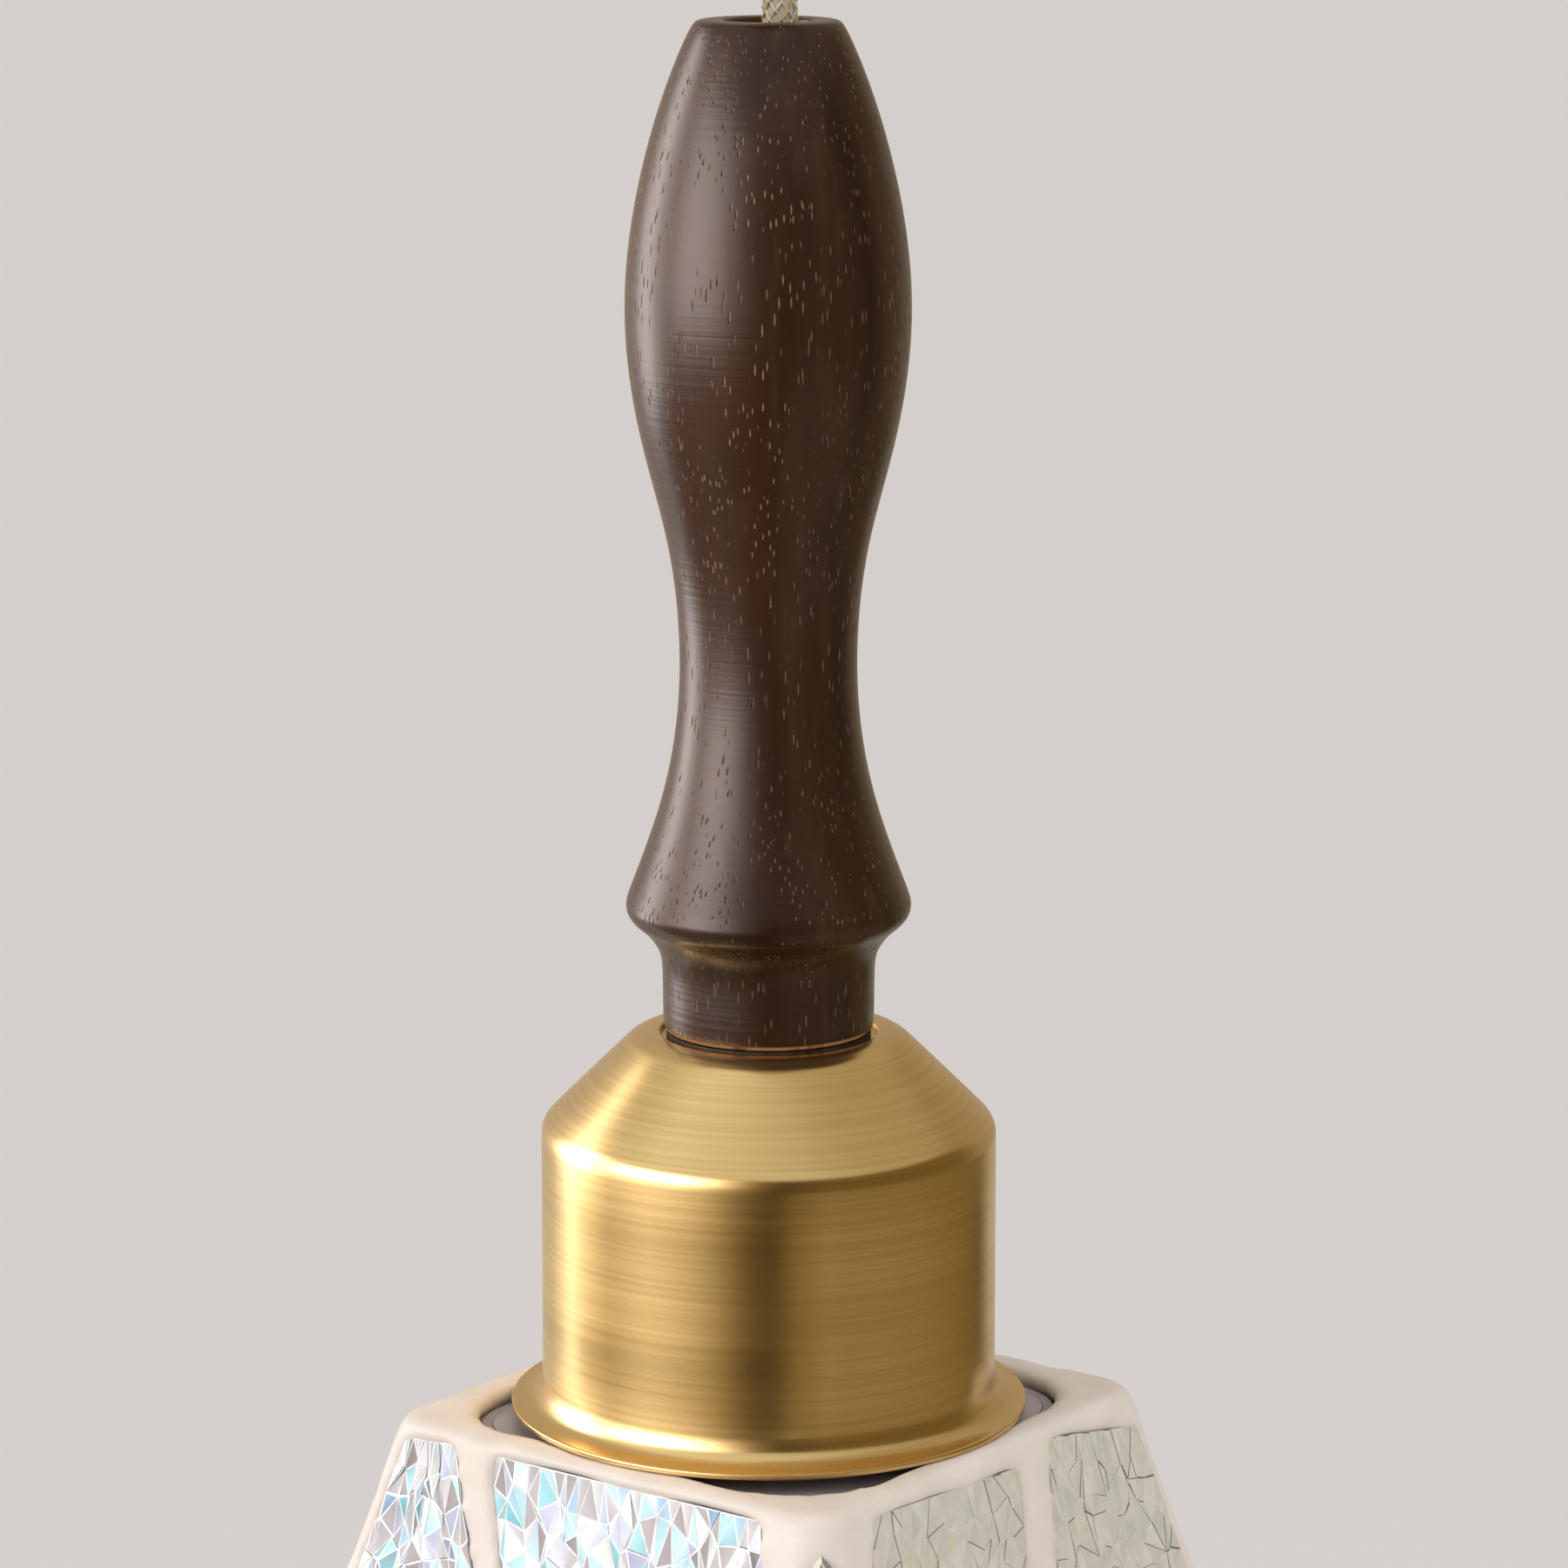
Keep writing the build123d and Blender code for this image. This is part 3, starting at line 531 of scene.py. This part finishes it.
walnut, tree, shader = new_finish("oiled_walnut")
place = add_node(tree, "ShaderNodeTexCoord")
figure = stretched(tree, place, (75, 75, 7), Detail=4.0, Distortion=0.8)
streak = stretched(tree, place, (420, 420, 22), Detail=3.0)
patch = stretched(tree, place, (330, 330, 90), Detail=2.0)
flame = stretched(tree, place, (38, 38, 11), Detail=2.0)
ring = stretched(tree, place, (8, 8, 1500), Detail=2.0)
pore = stretched(tree, place, pore_scale, kind="ShaderNodeTexVoronoi", feature="F1")
pore_shadow = stretched(tree, place, pore_scale, kind="ShaderNodeTexVoronoi", feature="F1")
pore_shadow.inputs["Vector"].links[0].from_node.inputs["Location"].default_value = pore_shift
height = add_node(tree, "ShaderNodeSeparateXYZ")
tree.links.new(place.outputs["Object"], height.inputs["Vector"])
colour = mixed(tree, ranged(tree, figure.outputs["Fac"], 0.3, 0.7), deep_wood, brown_wood)
colour = mixed(tree, ranged(tree, flame.outputs["Fac"], 0.45, 0.7, 0, 0.55), colour, red_wood)
colour = mixed(tree, ranged(tree, streak.outputs["Fac"], 0.52, 0.72, 0, 0.5), colour, pale_streak)
crowded = ranged(tree, patch.outputs["Fac"], 0.40, 0.50)
open_pore = times(tree, ranged(tree, pore.outputs["Distance"], pore_rim, pore_heart), crowded)
# Each pore gets a painted shadow: the same pore pattern, shifted a little to one side and painted near black.
painted_pore_shadow = times(tree, ranged(tree, pore_shadow.outputs["Distance"], pore_rim, pore_heart), crowded)
colour = mixed(tree, times(tree, painted_pore_shadow, 0.8), colour, pore_shade)
filled = ranged(tree, flame.outputs["Fac"], 0.35, 0.65, 0.35, 0.95)
colour = mixed(tree, times(tree, open_pore, filled), colour, pore_dust)
foot_band = ranged(tree, height.outputs["Z"], wood_foot + 0.9 * mm, wood_foot + 0.5 * mm)
foot_wear = ranged(tree, patch.outputs["Fac"], 0.38, 0.52, 0.35, 1.0)
colour = mixed(tree, times(tree, foot_band, foot_wear), colour, bare_wood)
tree.links.new(colour, shader.inputs["Base Color"])
pit = mixed(tree, 1.0, open_pore, painted_pore_shadow, "LIGHTEN")
tree.links.new(ranged(tree, pit, 0, 1, 0.27, 0.8), shader.inputs["Roughness"])
tooling = mixed(tree, 0.5, ring.outputs["Fac"], streak.outputs["Fac"])
raised(tree, shader, mixed(tree, pit, tooling, (0.0, 0.0, 0.0)), 0.4, 0.14 * mm)
shader.inputs["Specular IOR Level"].default_value = 0.36
handle.data.materials.append(walnut)
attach(handle, "lamp")
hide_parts("walnut_handle")

# ---- brass cap -------------------------------------------------------------------------------------------
# A cup spun from 0.8 mm brass and brushed satin: a small recess for the dark washer, a 45 degree shoulder,
# a straight side and a rim that flares out to lie on the shade. A threaded nipple holds it under the handle.
cap_low, cap_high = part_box("brass_cap")
rim_radius = cap_high[0]
rim_foot = cap_low[2]
cap_radius = 29.0 * mm
sheet = 0.8 * mm
shoulder_foot = wood_foot - 12.2 * mm
shoulder_top = wood_foot - 0.1 * mm
shoulder_radius = 16.9 * mm
washer_radius = 13.6 * mm
nipple_radius = 5.0 * mm
recess_floor = wood_foot - 1 * mm
recess_edge = 13.9 * mm
recess_back = 14.1 * mm
recess_back_edge = 14.5 * mm
rim_trim = 0.02 * mm
outside_rounds = [0.2 * mm, 0.3 * mm, 5.4 * mm, 3.4 * mm, 3.4 * mm]
inside_rounds = [4.0 * mm, 2.8 * mm, 4.6 * mm, 0.2 * mm, 0.2 * mm]


def rounded(corners, radii, steps=5):
    """Replaces each inner corner of an outline by a round."""
    outline = [corners[0]]
    for before, here, after, radius in zip(corners, corners[1:], corners[2:], radii):
        before, here, after = Vector(before), Vector(here), Vector(after)
        back, forth = (before - here).normalized(), (after - here).normalized()
        reach = radius / math.tan(back.angle(forth) / 2)
        start, end = here + back * reach, here + forth * reach
        for step in range(steps + 1):
            share = step / steps
            point = start.lerp(here, share).lerp(here.lerp(end, share), share)
            outline.append(tuple(point))
    return outline + [corners[-1]]


lean = sheet * (math.sqrt(2) - 1)
outside = rounded([(nipple_radius, recess_floor), (washer_radius, recess_floor), (recess_edge, shoulder_top),
                   (shoulder_radius, shoulder_top), (cap_radius, shoulder_foot),
                   (cap_radius, rim_foot + sheet), (rim_radius, rim_foot + sheet)], outside_rounds)
inside = rounded([(rim_radius, rim_foot), (cap_radius - sheet, rim_foot),
                  (cap_radius - sheet, shoulder_foot - lean), (shoulder_radius - lean, shoulder_top - sheet),
                  (recess_back_edge, shoulder_top - sheet), (recess_back, recess_floor - sheet),
                  (nipple_radius, recess_floor - sheet)], inside_rounds)
edge = [(rim_radius - rim_trim, rim_foot + 0.75 * sheet), (rim_radius - rim_trim, rim_foot + 0.25 * sheet)]
cap = turned_piece("spun_cap", outside + edge + inside, sides=96, levels=1)

cap_brass, tree, shader = new_finish("brushed_cap_brass")
shader.inputs["Metallic"].default_value = 1.0
place = add_node(tree, "ShaderNodeTexCoord")
lines = stretched(tree, place, (13, 13, 2100), Detail=6.0)
broad = stretched(tree, place, (9, 9, 260), Detail=3.0)
cloud = stretched(tree, place, (60, 60, 60), Detail=3.0)
grain = stretched(tree, place, (4200, 4200, 4200), Detail=1.0)
brass_brown, brass_pale, brass_stain = (0.69, 0.485, 0.205), (0.775, 0.56, 0.255), (0.64, 0.42, 0.16)
colour = mixed(tree, ranged(tree, lines.outputs["Fac"], 0.3, 0.7), brass_brown, brass_pale)
colour = mixed(tree, ranged(tree, cloud.outputs["Fac"], 0.45, 0.75, 0, 0.25), colour, brass_stain)
tree.links.new(colour, shader.inputs["Base Color"])
tree.links.new(ranged(tree, broad.outputs["Fac"], 0.25, 0.75, 0.19, 0.26), shader.inputs["Roughness"])
raised(tree, shader, mixed(tree, 0.55, lines.outputs["Fac"], grain.outputs["Fac"]), 0.08, 0.05 * mm)
cap.data.materials.append(cap_brass)
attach(cap, "lamp")
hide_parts("brass_cap")

# The seat washer is a real part, coloured near black as painted shade for the gap under the handle's foot.
washer_painted_shade_finish = finish_of("dark_washer", (0.018, 0.013, 0.010), (0.05, 0.036, 0.026), (0.4, 0.6), 900)
dress(washer_painted_shade_finish, "seat_ring")

# ---- lampholder ------------------------------------------------------------------------------------------
# A black moulded holder with a glazed ceramic core, a stamped brass screw shell and a sprung contact. Its
# ring nut pulls up the pressed steel carrier, enamelled mauve grey, which lies on a felt gasket in the
# shade's opening. These parts keep their own shape and only need their finish.
resin = finish_of("black_resin", (0.018, 0.018, 0.018), (0.035, 0.034, 0.033), (0.35, 0.5), 1300, bump=0.1)
ceramic = finish_of("glazed_ceramic", (0.74, 0.72, 0.67), (0.84, 0.82, 0.78), (0.12, 0.2), 260, bump=0.05,
                    Coat_Weight=0.5)
contact_brass = finish_of("stamped_brass", (0.60, 0.44, 0.22), (0.72, 0.55, 0.30), (0.25, 0.4), 600,
                          Metallic=1.0)
enamel = finish_of("mauve_enamel", (0.34, 0.29, 0.31), (0.42, 0.37, 0.385), (0.35, 0.5), 340, bump=0.12,
                   Coat_Weight=0.2)
felt = finish_of("grey_felt", (0.26, 0.225, 0.24), (0.36, 0.315, 0.335), (0.8, 0.95), 1600, bump=0.5,
                 Sheen_Weight=0.2)
dress(resin, "lampholder_cap", "lampholder_skirt", "shade_ring")
dress(ceramic, "lampholder_core")
dress(contact_brass, "lampholder_shell", "centre_contact")
dress(enamel, "shade_carrier")
dress(felt, "shade_gasket")

# ---- grout -----------------------------------------------------------------------------------------------
# A skin of fine cream grout, pressed between the tiles and over the top edge by hand and wiped with a sponge.
# It is smooth and a little wavy, and rounded at every edge.
weld = 0.005 * mm


def merged_copy(name, node):
    """A copy of a part's own shape with its loose corners joined, left in edit mode and all selected."""
    piece = bpy.data.objects.new(name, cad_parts[node].data.copy())
    bpy.context.collection.objects.link(piece)
    piece.data.materials.clear()
    only(piece)
    bpy.ops.object.mode_set(mode="EDIT")
    bpy.ops.mesh.select_all(action="SELECT")
    bpy.ops.mesh.remove_doubles(threshold=weld)
    return piece


grout = merged_copy("grout_skin", "shade_grout")
bpy.ops.object.mode_set(mode="OBJECT")
remesh = grout.modifiers.new("even", "REMESH")
remesh.mode = "VOXEL"
remesh.voxel_size = 1.15 * mm
remesh.use_smooth_shade = True
bpy.ops.object.modifier_apply(modifier=remesh.name)
soften = grout.modifiers.new("soften", "SMOOTH")
soften.factor = 0.5
soften.iterations = 5
bpy.ops.object.modifier_apply(modifier=soften.name)
waves = bpy.data.textures.new("sponge_waves", "CLOUDS")
waves.noise_scale = 0.011
waves.noise_depth = 1
wavy = grout.modifiers.new("wavy", "DISPLACE")
wavy.texture = waves
wavy.texture_coords = "LOCAL"
wavy.strength = 0.9 * mm
wavy.mid_level = 0.18
bpy.ops.object.modifier_apply(modifier=wavy.name)
places = np.empty(len(grout.data.vertices) * 3)
grout.data.vertices.foreach_get("co", places)
places = places.reshape(-1, 3)
grout_low, grout_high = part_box("shade_grout")
places = np.clip(places, np.array(grout_low), np.array(grout_high))
grout.data.vertices.foreach_set("co", places.ravel())
grout.data.update()
grout_finish = finish_of("cream_grout", (0.75, 0.665, 0.595), (0.83, 0.755, 0.69), (0.38, 0.55), 120,
                         bump=0.25, bump_depth=0.2 * mm, Specular_IOR_Level=0.35)
grout.data.materials.append(grout_finish)
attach(grout, "lamp")
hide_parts("shade_grout")

# ---- glass body and tiles --------------------------------------------------------------------------------
# The tiles are hand-made glass, crinkled as they cool into small flat shards. Each shard has its own tint. At
# the front and back they carry the painted look of a lit side: aqua, blue, lavender and mauve, with white
# shards and creases as painted highlights, dark grey shards as painted reflections of shade, and corners
# darkened at random as painted reflections across each shard. At the sides they carry the painted look of a
# shaded side: straw, sage and pearl with duller creases. The tiles lie just below the grout, on a clear
# pressed glass body.
pressed_glass = finish_of("pressed_glass", (0.80, 0.85, 0.84), (0.92, 0.95, 0.94), (0.15, 0.3), 150,
                          bump=0.1, Transmission_Weight=0.6, IOR=1.5)
dress(pressed_glass, "shade_glass")

tints = {
    "white": (0.84, 0.87, 0.87), "mauve": (0.56, 0.53, 0.56), "shadow": (0.32, 0.29, 0.30),
    "cyan": (0.46, 0.79, 0.89), "turquoise": (0.28, 0.68, 0.78), "blue": (0.38, 0.60, 0.88),
    "lavender": (0.62, 0.66, 0.88), "straw": (0.74, 0.705, 0.61), "sage": (0.69, 0.68, 0.585),
    "pearl": (0.77, 0.73, 0.67), "lime": (0.72, 0.72, 0.54),
}
# The two palettes are painted light: a lit side and a shaded side. White shards are painted highlights,
# shadow shards painted reflections of shade.
painted_lit_palette = {"white": 0.20, "mauve": 0.22, "shadow": 0.11, "cyan": 0.20, "turquoise": 0.06, "blue": 0.08,
              "lavender": 0.13}
painted_shaded_palette = {"straw": 0.30, "sage": 0.28, "pearl": 0.38, "lime": 0.04}
# White creases are painted highlights on the lit sides, dark creases painted shade in the crinkles, pale
# creases the dimmer look of the shaded sides.
painted_highlight_crease, shaded_side_crease, painted_shade_crease = (0.95, 0.97, 0.97), (0.75, 0.72, 0.65), (0.24, 0.23, 0.23)
painted_lit_look = {"palette": painted_lit_palette, "painted_reflection_fade": 0.52, "crease": painted_highlight_crease, "dark_share": 0.05,
               "crease_width": 0.25 * mm, "relief": 0.45 * mm}
painted_shaded_look = {"palette": painted_shaded_palette, "painted_reflection_fade": 0.10, "crease": shaded_side_crease, "dark_share": 0.20,
              "crease_width": 0.24 * mm, "relief": 0.20 * mm}
shard_width = 2.5 * mm
shard_height = 4.0 * mm
shard_wander = 0.40
edge_sink = 0.2
brightest_tint = 1.05
crease_depth = 0.06 * mm
flat_enough = math.radians(2)
tile_glass = finish_of("crinkled_glass", (0.88, 0.88, 0.88), (1.0, 1.0, 1.0), (0.12, 0.26), 500, bump=0.25,
                       bump_depth=0.2 * mm, Metallic=0.08, Coat_Weight=0.15, Coat_Roughness=0.06,
                       Specular_IOR_Level=0.28)
colour_from(tile_glass, "facet_colour")
chance = np.random.default_rng(11)


# How closely a face or an edge keeps to a direction, where 1 is exactly along it.
nearly = 0.9
mostly = 0.7
barely = 0.1


def faces_out(face, outward, limit=nearly):
    """Tells whether a face looks outward closely enough."""
    return face.normal.dot(outward) > limit


def crinkled(node, outward, palette, painted_reflection_fade, crease, dark_share, crease_width, relief):
    """Copies a tile, cuts its face into uneven upright shards, and tints each and the creases round it."""
    piece = merged_copy("crinkled_" + node, node)
    mesh = piece.data
    bpy.ops.mesh.select_mode(type="EDGE")
    bpy.ops.mesh.dissolve_limited(angle_limit=flat_enough)
    along = outward.cross(Vector((0, 0, 1))).normalized()
    upward = along.cross(outward)
    steps = []
    for direction, shard in ((along, shard_width), (upward, shard_height)):
        bpy.ops.mesh.select_all(action="DESELECT")
        bpy.ops.object.mode_set(mode="OBJECT")
        keys = {key for face in mesh.polygons if faces_out(face, outward) for key in face.edge_keys}
        reach = [mesh.vertices[corner].co.dot(direction) for key in keys for corner in key]
        cuts = max(round((max(reach) - min(reach)) / shard) - 1, 1)
        steps.append((max(reach) - min(reach)) / (cuts + 1))
        for edge in mesh.edges:
            start, end = (mesh.vertices[corner].co for corner in edge.vertices)
            edge.select = edge.key in keys and abs((end - start).normalized().dot(direction)) > mostly
        bpy.ops.object.mode_set(mode="EDIT")
        bpy.ops.mesh.subdivide(number_cuts=cuts)
    bpy.ops.mesh.select_mode(type="FACE")
    bpy.ops.mesh.select_all(action="DESELECT")
    bpy.ops.object.mode_set(mode="OBJECT")
    front = {face.index for face in mesh.polygons if faces_out(face, outward)}
    uses = {}
    for index in sorted(front):
        for key in mesh.polygons[index].edge_keys:
            uses[key] = uses.get(key, 0) + 1
    border = {corner for key, count in uses.items() if count == 1 for corner in key}
    inner = sorted({corner for key in uses for corner in key} - border)
    for corner in inner:
        a, b, c = chance.uniform(-1, 1, 3)
        slide = along * steps[0] * shard_wander * a + upward * steps[1] * shard_wander * b
        mesh.vertices[corner].co += slide + outward * relief * c
    for corner in sorted(border):
        mesh.vertices[corner].co -= outward * relief * chance.uniform(0, edge_sink)
    for face in mesh.polygons:
        face.select = face.index in front
    bpy.ops.object.mode_set(mode="EDIT")
    bpy.ops.mesh.quads_convert_to_tris(quad_method="SHORTEST_DIAGONAL", ngon_method="BEAUTY")
    bpy.ops.object.mode_set(mode="OBJECT")
    names, shares = list(palette), np.array(list(palette.values()))
    colours = mesh.attributes.new("facet_colour", "FLOAT_COLOR", "CORNER")
    for face in mesh.polygons:
        tint = Vector(tints[names[chance.choice(len(names), p=shares / shares.sum())]])
        for corner in face.loop_indices:
            # Each corner is darkened at random: a painted reflection fading across the shard.
            colours.data[corner].color = (*(tint * chance.uniform(1 - painted_reflection_fade, brightest_tint)), 1)
    bpy.ops.object.mode_set(mode="EDIT")
    bpy.ops.mesh.inset(thickness=crease_width, depth=crease_depth, use_individual=True, use_even_offset=False)
    bpy.ops.object.mode_set(mode="OBJECT")
    colours = mesh.attributes["facet_colour"]
    for face in mesh.polygons:
        # Some creases take the painted shade colour, the rest the side's painted crease colour.
        line = painted_shade_crease if chance.uniform() < dark_share else crease
        if face.select or not faces_out(face, outward, barely):
            continue
        for corner in face.loop_indices:
            colours.data[corner].color = (*line, 1)
    bpy.ops.object.shade_flat()
    mesh.materials.append(tile_glass)
    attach(piece, "lamp")
    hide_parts(node)


face_slope = 0.262
sides = {"front": Vector((0, -1, face_slope)), "right": Vector((1, 0, face_slope)),
         "back": Vector((0, 1, face_slope)), "left": Vector((-1, 0, face_slope))}
for side, outward in sides.items():
    # The front and back take the painted lit look, the left and right the painted shaded look.
    look = painted_shaded_look if side in ("right", "left") else painted_lit_look
    for row in ("upper", "middle", "lower"):
        for hand in ("left", "right"):
            crinkled(f"tile_{side}_{row}_{hand}", outward.normalized(), **look)

# ---- glass drops -----------------------------------------------------------------------------------------
# Kite-shaped drops of the same glass, ground to four steep slopes with four shallow ones above them. They are
# pressed into the grout one below the other, down two corners of the shade.
drop_bevel = 0.7 * mm
drop_point = 0.5 * mm
# The white and shadow tints paint a highlight and a reflection of shade on some faces of the drops.
drop_tints = ("cyan", "white", "lime", "shadow")
gems = merged_copy("ground_drops", "corner_gems")
bpy.ops.mesh.dissolve_limited(angle_limit=flat_enough)
bpy.ops.mesh.select_mode(type="FACE")
bpy.ops.object.mode_set(mode="OBJECT")
for face in gems.data.polygons:
    outward = Vector((face.center.x, face.center.y, 0)).normalized()
    face.select = faces_out(face, outward, 0.8)
bpy.ops.object.mode_set(mode="EDIT")
bpy.ops.mesh.inset(thickness=drop_bevel, depth=drop_bevel, use_individual=True)
bpy.ops.mesh.poke(offset=drop_point)
bpy.ops.object.mode_set(mode="OBJECT")
colours = gems.data.attributes.new("facet_colour", "FLOAT_COLOR", "FACE")
for slot in colours.data:
    slot.color = (*tints[drop_tints[chance.integers(len(drop_tints))]], 1)
bpy.ops.object.shade_flat()
gems.data.materials.append(tile_glass)
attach(gems, "lamp")
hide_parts("corner_gems")

# ---- bulb ------------------------------------------------------------------------------------------------
# A clear filament bulb: nickel plated screw cap, black glass insulator with a soldered tip, blown envelope
# with its stem, and four phosphor coated filaments.
clear_glass = finish_of("blown_glass", (0.96, 0.97, 0.965), (1.0, 1.0, 1.0), (0.01, 0.03), 60, bump=0.02,
                        Transmission_Weight=1.0, IOR=1.45)
nickel = finish_of("nickel_plate", (0.60, 0.58, 0.54), (0.74, 0.72, 0.68), (0.2, 0.34), 500, Metallic=1.0)
vitrite = finish_of("black_vitrite", (0.012, 0.012, 0.012), (0.03, 0.03, 0.03), (0.1, 0.2), 300, bump=0.05)
solder = finish_of("solder", (0.50, 0.50, 0.50), (0.70, 0.70, 0.69), (0.3, 0.5), 900, Metallic=1.0)
phosphor = finish_of("phosphor", (0.78, 0.50, 0.10), (0.90, 0.66, 0.20), (0.5, 0.7), 2200, bump=0.3)
dress(clear_glass, "bulb_glass", "bulb_stem")
dress(nickel, "bulb_screw_cap")
dress(vitrite, "bulb_insulator")
dress(solder, "bulb_centre_contact")
dress(phosphor, "bulb_filaments")
